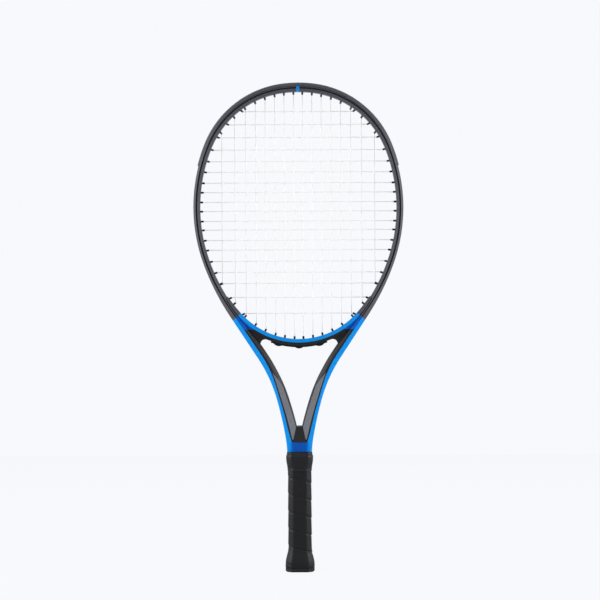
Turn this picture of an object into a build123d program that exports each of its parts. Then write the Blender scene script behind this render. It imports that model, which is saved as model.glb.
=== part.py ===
from build123d import *
import math
import os

os.makedirs("parts", exist_ok=True)

# ---------------------------------------------------------------------------
# Driving dimensions, millimetres and degrees.  +Z runs from the butt to the
# head, the strings lie in the XZ plane, Y is the depth of the beam.
# ---------------------------------------------------------------------------

# Head: tangent arcs of the inner outline, top to throat, angle from +Z
TOP_RADIUS = 150.9
TOP_ANGLE = 8.0
SHOULDER_RADIUS = 116.3
SHOULDER_ANGLE = 68.3
SIDE_RADIUS = 206.5
SIDE_ANGLE = 131.6

# Beam of the head, seen in section
BEAM_WIDTH = 8.8
BEAM_DEPTH = 22.0
OUTER_FACE = 15.0
INNER_FACE = 13.0
CREST_FROM_OUTER = 3.6
CREST_FLAT = 0.6
GROOVE_DEPTH = 2.2
GROOVE_WIDTH = 6.6
OUTER_WALL = 1.3
INNER_WALL = 1.5
CREST_WALL = 2.4

# Shafts: outer line from the head to the handle
LEAVE_ANGLE = 109.5
HAUNCH_RADIUS = 320.0
SHAFT_ANGLE = 123.35
NECK_RADIUS = 191.0
NECK_ANGLE = 105.7
TAPER_RADIUS = 486.0
TAPER_ANGLE = 99.7
FOOT_RADIUS = 143.0
SHAFT_END_Z = 150.0
SHAFT_END_HALF = 16.0
HAUNCH_WIDTH = 9.8
SHAFT_WIDTH = 12.4
NECK_WIDTH = 15.2
FOOT_WIDTH = 17.2

# Hidden stem of the shafts, inside the handle
STEM_HALF = 12.2
STEM_DEPTH = 18.0
STEM_BOTTOM_Z = 8.0
STEM_TOP_Z = 141.0

# Throat bridge
BRIDGE_DEPTH = 20.0
BRIDGE_START_ANGLE = 124.0
CORNER_X = 49.0
CORNER_START_X = 40.0
CORNER_DROP = 4.0
CORNER_DEPTH = 14.0

# Throat plug
PLUG_TOP_Z = 189.0
PLUG_BOTTOM_Z = 168.0
PLUG_TOP_WIDTH = 8.0
PLUG_BOTTOM_WIDTH = 17.5
PLUG_PLATE = 1.2
PLUG_PROUD = 0.3

# Strings
STRING_DIAMETER = 1.26
STRING_GAP = 0.04
MAIN_PLANE = -0.8
CROSS_PLANE = 0.8
MAIN_STEPS = [5.7, 12.3, 12.0, 12.5, 12.5, 13.0, 14.0, 16.9]
CROSS_FIRST = 25.6
CROSS_STEPS = [16.9, 16.8, 16.0, 15.0, 13.8, 14.1, 12.2, 12.6, 11.9,
               12.8, 11.4, 13.4, 12.7, 14.6, 14.4, 14.4, 18.2, 20.7]
THROAT_MAINS = 3
TAIL_LENGTH = 5.5
KNOT_WALL = 0.27
KNOT_WAIST_WALL = 0.124
KNOT_LENGTH = 3.4
KNOT_GRIP = 2.4
KNOT_GAP = 0.02
KNOT_ROOM = 0.05
TIP_BEND = 2.0
WEAVE_BEND = 3.0
RUN_BEND = 6.0
RUN_STEP = 6.0
SHORTEST_CUT = 0.5
WEAVE_EXTRA = 0.1
NEAR_BARREL = 7.0

# Grommets
BARREL_DIAMETER = 2.6
BARREL_PROUD = 3.5
HOLE_CLEARANCE = 0.1
BARREL_LEAN = 0.35
STRIP_FLOOR = 0.65
STRIP_WIDTH = 6.4
CHANNEL_WIDTH = 3.2
STRING_CLEARANCE = 0.07
STRING_LIFT = 0.16
RUN_APPROACH = 6.0
EXIT_BEND = 1.5
STRIP_END_MARGIN = 5.0
WAVE_RADIUS = 9.0
WAVE_DROP = 3.6
THROAT_PROUD = 2.0

# Bumper guard
BUMPER_SIDE = 0.8
BUMPER_CROWN = 2.4
BUMPER_ANGLE = 76.0
BUMPER_FACE = 11.0
BUMPER_SHOULDER = 16.4
BUMPER_WIDTH = 21.2

# Handle
PALLET_HALF_X = 13.7
PALLET_HALF_Y = 12.2
PALLET_CHAMFER = 5.6
PALLET_BOTTOM_Z = 3.0
PALLET_TOP_Z = 140.0
PALLET_END_STEP = 1.0
GRIP_THICKNESS = 1.8
GRIP_BOTTOM_Z = 5.0
GRIP_TOP_Z = 136.0
CAP_SKIRT_Z = 45.0
FLARE_TOP_Z = 31.0
FLARE_LOW_Z = 10.0
FLARE_HALF = 17.2
LIP_HALF = 18.8
LIP_EDGE = 2.0
BADGE_HALF = 11.0
BADGE_THICKNESS = 1.0
STAPLE_WIDTH = 8.0
STAPLE_WIRE = 0.5
STAPLE_BLADE = 1.2
STAPLE_LEG = 3.0
STAPLE_Z = 38.0
STAPLE_SPACING = 10.0
TAPE_THICKNESS = 0.2
TAPE_BOTTOM_Z = 131.0
COLLAR_BOTTOM_Z = 133.5
COLLAR_TOP_Z = 155.0
COLLAR_HALF_X = 17.6
COLLAR_HALF_Y = 16.1
COLLAR_LIP = 3.0
COLLAR_LIP_STEP = 0.9

# ---------------------------------------------------------------------------
# Plane geometry of the outline (right-hand half, in the XZ plane)
# ---------------------------------------------------------------------------


def normal(angle):
    """Outward direction at an angle measured clockwise from +Z."""
    a = math.radians(angle)
    return (math.sin(a), math.cos(a))


def shifted(point, direction, distance):
    return (point[0] + direction[0] * distance, point[1] + direction[1] * distance)


def head_arcs():
    """Arcs of the inner outline as (centre, radius, start, end), top at z = 0."""
    top = (0.0, -TOP_RADIUS)
    shoulder = shifted(top, normal(TOP_ANGLE), TOP_RADIUS - SHOULDER_RADIUS)
    side = shifted(shoulder, normal(SHOULDER_ANGLE), SHOULDER_RADIUS - SIDE_RADIUS)
    bottom_radius = SIDE_RADIUS + side[0] / normal(SIDE_ANGLE)[0]
    bottom = shifted(side, normal(SIDE_ANGLE), SIDE_RADIUS - bottom_radius)
    return [
        (top, TOP_RADIUS, 0.0, TOP_ANGLE),
        (shoulder, SHOULDER_RADIUS, TOP_ANGLE, SHOULDER_ANGLE),
        (side, SIDE_RADIUS, SHOULDER_ANGLE, SIDE_ANGLE),
        ((0.0, bottom[1]), bottom_radius, SIDE_ANGLE, 180.0),
    ]


def shaft_chain(arcs):
    """Outer line below the head: pieces as (kind, data, start, end)."""
    side_centre = arcs[2][0]
    outer_radius = SIDE_RADIUS + BEAM_WIDTH
    haunch_centre = shifted(side_centre, normal(LEAVE_ANGLE), outer_radius - HAUNCH_RADIUS)
    shaft_start = shifted(haunch_centre, normal(SHAFT_ANGLE), HAUNCH_RADIUS)
    neck_turn = shifted((0.0, 0.0), normal(SHAFT_ANGLE), NECK_RADIUS)
    neck_turn = shifted(neck_turn, normal(NECK_ANGLE), TAPER_RADIUS - NECK_RADIUS)
    neck_turn = shifted(neck_turn, normal(TAPER_ANGLE), FOOT_RADIUS - TAPER_RADIUS)
    neck_turn = shifted(neck_turn, normal(90.0), -FOOT_RADIUS)
    run = normal(SHAFT_ANGLE + 90.0)
    straight = (SHAFT_END_HALF - shaft_start[0] - neck_turn[0]) / run[0]
    shaft_end = shifted(shaft_start, run, straight)
    neck_centre = shifted(shaft_end, normal(SHAFT_ANGLE), NECK_RADIUS)
    taper_centre = shifted(neck_centre, normal(NECK_ANGLE), TAPER_RADIUS - NECK_RADIUS)
    foot_centre = shifted(taper_centre, normal(TAPER_ANGLE), FOOT_RADIUS - TAPER_RADIUS)
    return [
        ("arc", haunch_centre, HAUNCH_RADIUS - BEAM_WIDTH, LEAVE_ANGLE, SHAFT_ANGLE),
        ("line", shaft_start, shaft_end, SHAFT_ANGLE, SHAFT_ANGLE),
        ("hollow", neck_centre, NECK_RADIUS, SHAFT_ANGLE, NECK_ANGLE),
        ("hollow", taper_centre, TAPER_RADIUS, NECK_ANGLE, TAPER_ANGLE),
        ("hollow", foot_centre, FOOT_RADIUS, TAPER_ANGLE, 90.0),
    ]


def chain_at(piece, t, u):
    """Point at parameter t (0 to 1) of a piece, u outward from the inner line."""
    kind, first, second, start, end = piece
    angle = start + (end - start) * t
    if kind == "arc":
        return shifted(first, normal(angle), second + u)
    if kind == "hollow":
        return shifted(first, normal(angle), u - BEAM_WIDTH - second)
    x = first[0] + (second[0] - first[0]) * t
    z = first[1] + (second[1] - first[1]) * t
    return shifted((x, z), normal(start), u - BEAM_WIDTH)


def chain_length(piece):
    kind, first, second, start, end = piece
    if kind == "line":
        return math.dist(first, second)
    reach = second + BEAM_WIDTH if kind == "arc" else second
    return abs(math.radians(end - start)) * reach


def raised(piece, dz):
    kind, first, second, start, end = piece
    if kind == "line":
        return (kind, (first[0], first[1] + dz), (second[0], second[1] + dz), start, end)
    return (kind, (first[0], first[1] + dz), second, start, end)


FLAT_ARCS = head_arcs()
FLAT_SHAFT = shaft_chain(FLAT_ARCS)
HEAD_LIFT = SHAFT_END_Z - chain_at(FLAT_SHAFT[-1], 1.0, BEAM_WIDTH)[1]
HEAD = [raised(("arc",) + arc, HEAD_LIFT) for arc in FLAT_ARCS]
SHAFT = [raised(piece, HEAD_LIFT) for piece in FLAT_SHAFT]
SIDE_TO_LEAVE = ("arc", HEAD[2][1], SIDE_RADIUS, SHOULDER_ANGLE, LEAVE_ANGLE)
OUTER = [HEAD[0], HEAD[1], SIDE_TO_LEAVE] + SHAFT
HEAD_TOP_Z = HEAD_LIFT
BRIDGE_CENTRE = HEAD[3][1]
BRIDGE_RADIUS = HEAD[3][2]
SEAT_U = BEAM_WIDTH - GROOVE_DEPTH + STRIP_FLOOR + STRING_DIAMETER / 2 + STRING_LIFT


def locate(chain, point):
    """Run length along the chain and height above its inner line for a point."""
    run = 0.0
    for piece in chain:
        kind, first, second, start, end = piece
        length = chain_length(piece)
        if kind == "line":
            dx = (second[0] - first[0]) / length
            dz = (second[1] - first[1]) / length
            along = (point[0] - first[0]) * dx + (point[1] - first[1]) * dz
            out = normal(start)
            rise = (point[0] - first[0]) * out[0] + (point[1] - first[1]) * out[1]
            if 0.0 <= along <= length and abs(rise) < BEAM_DEPTH * 2:
                return run + along, rise + BEAM_WIDTH
        else:
            vx = point[0] - first[0]
            vz = point[1] - first[1]
            if kind == "hollow":
                vx = -vx
                vz = -vz
            angle = math.degrees(math.atan2(vx, vz))
            share = (angle - start) / (end - start)
            reach = math.hypot(vx, vz)
            if 0.0 <= share <= 1.0:
                rise = reach - second if kind == "arc" else BEAM_WIDTH + second - reach
                return run + share * length, rise
        run += length
    return None


def chain_point(chain, run, u):
    """Point at a run length along the whole chain."""
    for piece in chain:
        length = chain_length(piece)
        if run <= length:
            return chain_at(piece, run / length, u)
        run -= length
    return chain_at(chain[-1], 1.0, u)


def search(low, high, rising):
    """Parameter where a falling-to-rising test first turns true."""
    for _ in range(50):
        middle = (low + high) / 2
        if rising(middle):
            high = middle
        else:
            low = middle
    return (low + high) / 2


def head_point(angle, u):
    for piece in HEAD:
        if angle <= piece[4]:
            return shifted(piece[1], normal(angle), piece[2] + u)
    return shifted(HEAD[3][1], normal(180.0), HEAD[3][2] + u)


# ---------------------------------------------------------------------------
# Grommet positions: tip of each barrel, its direction and where it comes out
# ---------------------------------------------------------------------------


def string_end(angle, pull, lean, chain):
    """Tip, direction and seat of one string end on the right-hand side."""
    tip = head_point(angle, -BARREL_PROUD)
    out = normal(angle)
    direction = (out[0] * (1 - lean) + pull[0] * lean, out[1] * (1 - lean) + pull[1] * lean)
    size = math.hypot(direction[0], direction[1])
    direction = (direction[0] / size, direction[1] / size)
    reach = BARREL_PROUD + BEAM_WIDTH / 2
    while True:
        found = locate(chain, shifted(tip, direction, reach))
        if found and found[1] >= SEAT_U:
            break
        reach += 0.02
    seat = shifted(tip, direction, reach)
    return {"tip": tip, "direction": direction, "seat": seat, "run": found[0], "reach": reach}


def main_ends():
    """Top and bottom ends of each main, from the centre outward."""
    ends = []
    offset = 0.0
    for i, step in enumerate(MAIN_STEPS):
        offset += step
        top_angle = search(0.0, 90.0, lambda a: head_point(a, -BARREL_PROUD)[0] > offset)
        low_angle = search(100.0, 180.0, lambda a: head_point(a, -BARREL_PROUD)[0] < offset)
        top = string_end(top_angle, (0.0, 1.0), BARREL_LEAN, OUTER)
        if i < THROAT_MAINS:
            low = string_end(low_angle, (0.0, -1.0), BARREL_LEAN, [HEAD[3]])
        else:
            low = string_end(low_angle, (0.0, -1.0), 0.0, OUTER)
        ends.append((offset, top, low))
    return ends


def cross_ends():
    """Right-hand end of each cross, from the top of the head down."""
    ends = []
    height = HEAD_TOP_Z - CROSS_FIRST
    for step in CROSS_STEPS + [0.0]:
        angle = search(0.0, 180.0, lambda a: head_point(a, -BARREL_PROUD)[1] < height)
        ends.append((height, string_end(angle, (1.0, 0.0), BARREL_LEAN, OUTER)))
        height -= step
    return ends


MAINS = main_ends()
CROSSES = cross_ends()
LOWEST_RUN = max(low["run"] for offset, top, low in MAINS[THROAT_MAINS:])
STRIP_LOW_RUN = LOWEST_RUN + STRIP_END_MARGIN
BUMPER_RUN = locate(OUTER, head_point(BUMPER_ANGLE, BEAM_WIDTH))[0]


def in3d(point, side, y):
    return (point[0] * side, y, point[1])


# ---------------------------------------------------------------------------
# Solid helpers
# ---------------------------------------------------------------------------


def radial_plane(centre, angle):
    """Section plane through an arc centre: x outward along the radius, y along Y."""
    out = normal(angle)
    return Plane(origin=(centre[0], 0, centre[1]), x_dir=(out[0], 0, out[1]),
                 z_dir=(-out[1], 0, out[0]))


def ring(piece, outline, start=None, end=None, lift=0.0):
    """Revolve an outline of (u, y) points along one arc piece."""
    kind, centre, radius, piece_start, piece_end = piece
    first = piece_start if start is None else start
    last = piece_end if end is None else end
    centre = (centre[0], centre[1] + lift)
    points = [(radius + u, y) for u, y in outline]
    face = radial_plane(centre, first) * Polygon(*points, align=None)
    axis = Axis((centre[0], 0, centre[1]), (0, 1, 0))
    return revolve(face, axis=axis, revolution_arc=last - first)


def station_face(piece, t, outline):
    """Face across a chain piece: outline is (depth from the outer line, y)."""
    point = chain_at(piece, t, BEAM_WIDTH)
    out = normal(piece[3] + (piece[4] - piece[3]) * t)
    plane = Plane(origin=(point[0], 0, point[1]), x_dir=(-out[0], 0, -out[1]),
                  z_dir=(out[1], 0, -out[0]))
    return plane * Polygon(*outline, align=None)


def both(shape):
    """A shape and its mirror image across the YZ plane, joined."""
    return shape + mirror(shape, about=Plane.YZ)


def fuse_all(shapes):
    result = shapes[0]
    for shape in shapes[1:]:
        result = result + shape
    return result


def rod(start, end, radius):
    """Plain round rod between two points."""
    run = Vector(*end) - Vector(*start)
    plane = Plane(origin=start, z_dir=run)
    return extrude(plane * Circle(radius), run.length)


def bent_wire(points, bends):
    """Wire of straight runs with a tangent arc at each inner corner."""
    edges = []
    vectors = [Vector(*p) for p in points]
    cursor = vectors[0]
    for i in range(1, len(vectors) - 1):
        corner = vectors[i]
        back = (vectors[i - 1] - corner).normalized()
        ahead = (vectors[i + 1] - corner).normalized()
        turn = 180.0 - back.get_angle(ahead)
        if turn < 0.05:
            continue
        half = math.radians(turn / 2)
        bend = max(bends[i], SHORTEST_CUT / math.tan(half))
        cut = bend * math.tan(half)
        first = corner + back * cut
        last = corner + ahead * cut
        inward = (back + ahead).normalized()
        middle = corner + inward * (bend / math.cos(half) - bend)
        if (first - cursor).length > 1e-4:
            edges.append(Edge.make_line(cursor, first))
        edges.append(Edge.make_three_point_arc(first, middle, last))
        cursor = last
    edges.append(Edge.make_line(cursor, vectors[-1]))
    return Wire(edges)


def tube_along(points, bends, radius):
    wire = bent_wire(points, bends)
    start = Vector(*points[0])
    ahead = Vector(*points[1]) - start
    return sweep(Plane(origin=start, z_dir=ahead) * Circle(radius), path=wire)


# ---------------------------------------------------------------------------
# Sections of the frame
# ---------------------------------------------------------------------------


def beam_outline(width, crest_in, crest_out, depth):
    """Closed eight-cornered outline as (depth from the outer line, y)."""
    half = depth / 2
    return [
        (0.0, -OUTER_FACE / 2), (crest_in, -half), (crest_out, -half),
        (width, -INNER_FACE / 2), (width, INNER_FACE / 2), (crest_out, half),
        (crest_in, half), (0.0, OUTER_FACE / 2),
    ]


def cavity_outline(width, crest_out, depth):
    """Hollow of the tube, kept clear of the strip groove."""
    first = GROOVE_DEPTH + OUTER_WALL
    half = depth / 2 - CREST_WALL
    last = width - INNER_WALL
    low = INNER_FACE / 2 - INNER_WALL / 2
    crest = min(crest_out + 0.2, last - 0.5)
    return [
        (first, -half), (crest, -half), (last, -low),
        (last, low), (crest, half), (first, half),
    ]


def as_u(outline):
    return [(BEAM_WIDTH - d, y) for d, y in outline]


CREST_END = CREST_FROM_OUTER + CREST_FLAT
BEAM = as_u(beam_outline(BEAM_WIDTH, CREST_FROM_OUTER, CREST_END, BEAM_DEPTH))
BEAM_HOLLOW = as_u(cavity_outline(BEAM_WIDTH, CREST_END, BEAM_DEPTH))
BRIDGE_BEAM = as_u(beam_outline(BEAM_WIDTH, CREST_FROM_OUTER, CREST_END, BRIDGE_DEPTH))
BRIDGE_HOLLOW = as_u(cavity_outline(BEAM_WIDTH, CREST_END, BRIDGE_DEPTH))


def shaft_stations():
    """Stations along a shaft: piece, share, width, crest start, crest end."""
    haunch, straight, neck, taper, foot = SHAFT
    spread = SHAFT_WIDTH - HAUNCH_WIDTH
    grow = NECK_WIDTH - SHAFT_WIDTH
    return [
        (haunch, 0.0, BEAM_WIDTH, CREST_FROM_OUTER, CREST_END),
        (haunch, 0.5, (BEAM_WIDTH + HAUNCH_WIDTH) / 2, 3.8, 4.5),
        (haunch, 1.0, HAUNCH_WIDTH, 4.1, 4.9),
        (straight, 0.34, HAUNCH_WIDTH + spread * 0.5, 4.5, 5.5),
        (straight, 0.68, SHAFT_WIDTH, 5.0, 6.6),
        (straight, 1.0, SHAFT_WIDTH + grow * 0.3, 5.4, 8.6),
        (neck, 0.5, SHAFT_WIDTH + grow * 0.65, 5.8, 11.0),
        (neck, 1.0, NECK_WIDTH, 6.2, 12.6),
        (taper, 0.5, (NECK_WIDTH + FOOT_WIDTH) / 2, 6.5, 14.2),
        (taper, 1.0, FOOT_WIDTH, 6.5, 15.8),
        (foot, 1.0, FOOT_WIDTH, 6.0, 15.8),
    ]


def shaft_faces(hollow):
    faces = []
    for piece, t, width, crest_in, crest_out in shaft_stations():
        point = chain_at(piece, t, BEAM_WIDTH)
        out = normal(piece[3] + (piece[4] - piece[3]) * t)
        width = min(width, point[0] / out[0])
        crest_out = min(crest_out, width - 0.2)
        if hollow:
            outline = cavity_outline(width, crest_out, BEAM_DEPTH)
        else:
            outline = beam_outline(width, crest_in, crest_out, BEAM_DEPTH)
        faces.append(station_face(piece, t, outline))
    return faces


def stem(hollow):
    """Shoulder and straight stem of one shaft inside the handle."""
    wall = INNER_WALL if hollow else 0.0
    top = Plane.XY.offset(SHAFT_END_Z)
    low = Plane.XY.offset(STEM_TOP_Z)
    end = SHAFT_END_HALF

    def outline(half_x, depth, edge):
        y = depth / 2 - wall
        low_x = wall
        far_x = half_x - wall
        return [(low_x, -y), (far_x - edge, -y), (far_x, -y + edge),
                (far_x, y - edge), (far_x - edge, y), (low_x, y)]

    wide = top * Polygon(*outline(end, BEAM_DEPTH, 3.5), align=None)
    thin = low * Polygon(*outline(STEM_HALF, STEM_DEPTH, 3.5), align=None)
    shoulder = loft([wide, thin], ruled=True)
    drop = STEM_TOP_Z - STEM_BOTTOM_Z
    bar = extrude(thin, amount=-drop)
    return shoulder + bar


def frame_body(hollow):
    """Outer skin or hollow of the one-piece head and shafts."""
    outline = BEAM_HOLLOW if hollow else BEAM
    pieces = [
        ring(HEAD[0], outline),
        ring(HEAD[1], outline),
        ring(HEAD[2], outline, end=LEAVE_ANGLE),
        loft(shaft_faces(hollow), ruled=False),
        stem(hollow),
    ]
    half = fuse_all(pieces)
    return both(half)


def groove_band(u_low, u_high, width, run_low, run_high):
    """Band that follows the outer line between two run lengths."""
    outline = [(u_low, -width / 2), (u_high, -width / 2), (u_high, width / 2), (u_low, width / 2)]
    pieces = []
    run = 0.0
    for piece in OUTER:
        length = chain_length(piece)
        first = max(run_low, run)
        last = min(run_high, run + length)
        if last - first > 1e-6:
            t0 = (first - run) / length
            t1 = (last - run) / length
            kind, centre, second, start, end = piece
            if kind == "arc":
                span = end - start
                pieces.append(ring(piece, outline, start + span * t0, start + span * t1))
            elif kind == "line":
                flat = [(BEAM_WIDTH - u, y) for u, y in outline]
                face = station_face(piece, t0, flat)
                tip = chain_at(piece, t1, BEAM_WIDTH)
                tail = chain_at(piece, t0, BEAM_WIDTH)
                run_dir = Vector(tip[0] - tail[0], 0, tip[1] - tail[1])
                pieces.append(Solid.extrude(face.face(), run_dir))
        run += length
    return fuse_all(pieces)



# ---------------------------------------------------------------------------
# String routes: lists of (point, bend radius)
# ---------------------------------------------------------------------------

WEAVE = STRING_DIAMETER + STRING_GAP + WEAVE_EXTRA


def along_outside(chain, low, high, side, y):
    """Corner points in the strip channel between two string seats."""
    first, last = low["run"], high["run"]
    count = max(1, math.ceil(abs(last - first) / RUN_STEP))
    route = []
    for i in range(1, count):
        point = chain_point(chain, first + (last - first) * i / count, SEAT_U + 0.02)
        route.append((in3d(point, side, y), RUN_BEND))
    return route


def end_route(end, side, y):
    return [(in3d(end["tip"], side, y), TIP_BEND), (in3d(end["seat"], side, y), EXIT_BEND)]


def tail_route(end, side, y, sign):
    """Short free end of a string in the channel, past its own hole."""
    route = []
    for share in (0.5, 1.0):
        run = end["run"] + sign * TAIL_LENGTH * share
        route.append((in3d(chain_point(OUTER, run, SEAT_U), side, y), RUN_BEND))
    return route


def main_route():
    """One string through every main, outermost left to outermost right."""
    count = len(MAINS)
    order = [(-1, i) for i in reversed(range(count))] + [(1, i) for i in range(count)]
    route = list(reversed(tail_route(MAINS[-1][2], -1, MAIN_PLANE, 1)))
    going_up = True
    for k, (side, i) in enumerate(order):
        offset, top, low = MAINS[i]
        first, last = (low, top) if going_up else (top, low)
        route += list(reversed(end_route(first, side, MAIN_PLANE)))
        route += end_route(last, side, MAIN_PLANE)
        if k + 1 < len(order):
            next_side, j = order[k + 1]
            other = MAINS[j][1] if going_up else MAINS[j][2]
            if next_side == side:
                throat = not going_up and max(i, j) < THROAT_MAINS
                chain = [HEAD[3]] if throat else OUTER
                route += along_outside(chain, last, other, side, MAIN_PLANE)
            else:
                centre = {"run": chain_length(HEAD[3])}
                route += along_outside([HEAD[3]], last, centre, side, MAIN_PLANE)
                back = along_outside([HEAD[3]], last, centre, next_side, MAIN_PLANE)
                route += list(reversed(back))
        going_up = not going_up
    route += tail_route(MAINS[-1][2], 1, MAIN_PLANE, 1)
    return route


def main_columns(height):
    """X of each main that a cross at this height passes, left to right."""
    columns = []
    for offset, top, low in MAINS:
        if low["tip"][1] < height < top["tip"][1]:
            columns += [-offset, offset]
    return sorted(columns)


def weave_points(i, height, end, side_first):
    """Corners of one cross over and under the mains."""
    everything = sorted([-m[0] for m in MAINS] + [m[0] for m in MAINS])
    reach = end["tip"][0]
    route = []
    for x in main_columns(height):
        sign = 1 if (i + everything.index(x)) % 2 == 0 else -1
        if reach - abs(x) < NEAR_BARREL:
            sign = 1
        route.append(((x, MAIN_PLANE + sign * WEAVE, height), WEAVE_BEND))
    if side_first == 1:
        route.reverse()
    return route


def cross_route():
    """One string through every cross, from the top right down."""
    route = list(reversed(tail_route(CROSSES[0][1], 1, CROSS_PLANE, -1)))
    side = 1
    for i, (height, end) in enumerate(CROSSES):
        route += list(reversed(end_route(end, side, CROSS_PLANE)))
        route += weave_points(i, height, end, side)
        side = -side
        route += end_route(end, side, CROSS_PLANE)
        if i + 1 < len(CROSSES):
            route += along_outside(OUTER, end, CROSSES[i + 1][1], side, CROSS_PLANE)
    route += tail_route(CROSSES[-1][1], side, CROSS_PLANE, 1)
    return route


def swept(route, radius):
    return tube_along([r[0] for r in route], [r[1] for r in route], radius)


def toward(start, goal, distance):
    """Point on the way from start to goal, no farther than the goal."""
    run = Vector(*goal) - Vector(*start)
    point = Vector(*start) + run.normalized() * min(distance, run.length)
    return (point.X, point.Y, point.Z)


def string_clearances(route, radius):
    """Wider sweeps of each outside run, from just inside the bed and back to it."""
    marks = [k for k, (point, bend) in enumerate(route) if bend == EXIT_BEND]
    sweeps = []
    groups = [[marks[0]]]
    k = 1
    while k < len(marks) - 1:
        groups.append([marks[k], marks[k + 1]])
        k += 2
    groups.append([marks[-1]])
    for group in groups:
        low = 0 if group[0] == marks[0] else group[0] - 2
        high = len(route) - 1 if group[-1] == marks[-1] else group[-1] + 2
        part = list(route[low:high + 1])
        if low > 0:
            part[0] = (toward(part[1][0], part[0][0], RUN_APPROACH), part[0][1])
        if high < len(route) - 1:
            part[-1] = (toward(part[-2][0], part[-1][0], RUN_APPROACH), part[-1][1])
        sweeps.append(swept(part, radius))
    return sweeps



# ---------------------------------------------------------------------------
# Frame, bridge and throat plug
# ---------------------------------------------------------------------------

GROOVE_U = BEAM_WIDTH - GROOVE_DEPTH
HOLE_RADIUS = BARREL_DIAMETER / 2 + HOLE_CLEARANCE


def all_ends():
    """Every string end as (end, side, y, is in the throat)."""
    ends = []
    for side in (-1, 1):
        for i, (offset, top, low) in enumerate(MAINS):
            ends.append((top, side, MAIN_PLANE, False))
            ends.append((low, side, MAIN_PLANE, i < THROAT_MAINS))
        for height, end in CROSSES:
            ends.append((end, side, CROSS_PLANE, False))
    return ends


def end_rod(end, side, y, start, finish, radius):
    """Rod along a string end, measured from the barrel tip."""
    tip, direction = end["tip"], end["direction"]
    first = in3d(shifted(tip, direction, start), side, y)
    last = in3d(shifted(tip, direction, finish), side, y)
    return rod(first, last, radius)


def throat_ring(u_low, u_high, width, margin):
    """Band under the bridge, a margin past the outermost throat string."""
    outline = [(u_low, -width / 2), (u_high, -width / 2), (u_high, width / 2), (u_low, width / 2)]
    outer_x = MAINS[THROAT_MAINS - 1][2]["seat"][0] + margin
    angle = 180.0 - math.degrees(math.asin(outer_x / (BRIDGE_RADIUS + BEAM_WIDTH)))
    return ring(HEAD[3], outline, start=angle, end=360.0 - angle)


def plug_prism(extra):
    """Trapezium of the throat plug through the full depth of the shafts."""
    low = PLUG_BOTTOM_WIDTH / 2 + extra
    top = PLUG_TOP_WIDTH / 2 + extra
    points = [(-low, PLUG_BOTTOM_Z), (low, PLUG_BOTTOM_Z), (top, PLUG_TOP_Z), (-top, PLUG_TOP_Z)]
    half = BEAM_DEPTH / 2 + PLUG_PROUD
    plane = Plane(origin=(0, half, 0), x_dir=(1, 0, 0), z_dir=(0, -1, 0))
    return extrude(plane * Polygon(*points, align=None), 2 * half)


ENDS = all_ends()
skin = frame_body(False)
frame_hollow = frame_body(True)

strip_groove = both(groove_band(GROOVE_U, BEAM_WIDTH + 2, GROOVE_WIDTH, 0, STRIP_LOW_RUN))
holes = [end_rod(end, side, y, BARREL_PROUD * 0.5, end["reach"] + 2.5, HOLE_RADIUS)
         for end, side, y, throat in ENDS]

plug_block = plug_prism(0.0)
plug_core_half = BEAM_DEPTH / 2 - PLUG_PLATE
plug_core = plug_block & Box(100, 2 * plug_core_half, 2000)
plug_recess = plug_block - Box(100, 2 * plug_core_half, 2000)

hairpin_skin = skin - plug_recess
frame_hairpin = hairpin_skin - frame_hollow - strip_groove
for hole in holes:
    frame_hairpin = frame_hairpin - hole

bridge_centre_band = ring(HEAD[3], BRIDGE_BEAM, end=360.0 - SIDE_ANGLE)
bridge_side = ring(HEAD[2], BRIDGE_BEAM, start=BRIDGE_START_ANGLE)


def corner_fill():
    """Rounded web between the bridge and a shaft at the top of the opening."""
    reach = BRIDGE_RADIUS + BEAM_WIDTH
    start_z = BRIDGE_CENTRE[1] - math.sqrt(reach ** 2 - CORNER_START_X ** 2)
    start = (CORNER_START_X, start_z)
    crown = ((CORNER_START_X + CORNER_X) / 2 + 1.5, start_z + 0.6)
    corner = (CORNER_X + 1.5, start_z - CORNER_DROP)
    plane = Plane(origin=(0, CORNER_DEPTH / 2, 0), x_dir=(1, 0, 0), z_dir=(0, -1, 0))
    far = (corner[0] + BEAM_WIDTH * 2, start_z + BEAM_WIDTH * 2)
    inner = (CORNER_START_X, start_z + BEAM_WIDTH / 2)
    outline = Wire([
        Edge.make_three_point_arc(Vector(*start, 0), Vector(*crown, 0), Vector(*corner, 0)),
        Edge.make_line(Vector(*corner, 0), Vector(*far, 0)),
        Edge.make_line(Vector(*far, 0), Vector(*inner, 0)),
        Edge.make_line(Vector(*inner, 0), Vector(*start, 0)),
    ])
    return extrude(plane * Face(outline), CORNER_DEPTH)


bridge_start = SIDE_ANGLE + 14.0
bridge_hollow = ring(HEAD[3], BRIDGE_HOLLOW, start=bridge_start, end=360.0 - bridge_start)
throat_bridge = bridge_centre_band - bridge_hollow - throat_ring(
    GROOVE_U, BEAM_WIDTH + 2, GROOVE_WIDTH, STRIP_END_MARGIN - 1)
for web in (bridge_side, corner_fill()):
    throat_bridge = throat_bridge + web
    throat_bridge = throat_bridge + mirror(web, about=Plane.YZ)
for hole in holes:
    throat_bridge = throat_bridge - hole
throat_bridge = throat_bridge - skin

throat_plug = plug_core - skin
throat_plug = throat_plug + plug_recess

# ---------------------------------------------------------------------------
# Strings, knots, grommets and bumper
# ---------------------------------------------------------------------------

MAIN_ROUTE = main_route()
CROSS_ROUTE = cross_route()
string_radius = STRING_DIAMETER / 2
KNOT_RADIUS = string_radius + KNOT_WALL
main_string = swept(MAIN_ROUTE, string_radius)
cross_string = swept(CROSS_ROUTE, string_radius)
wide_runs = string_clearances(MAIN_ROUTE, string_radius + STRING_CLEARANCE)
wide_runs += string_clearances(CROSS_ROUTE, string_radius + STRING_CLEARANCE)


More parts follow.
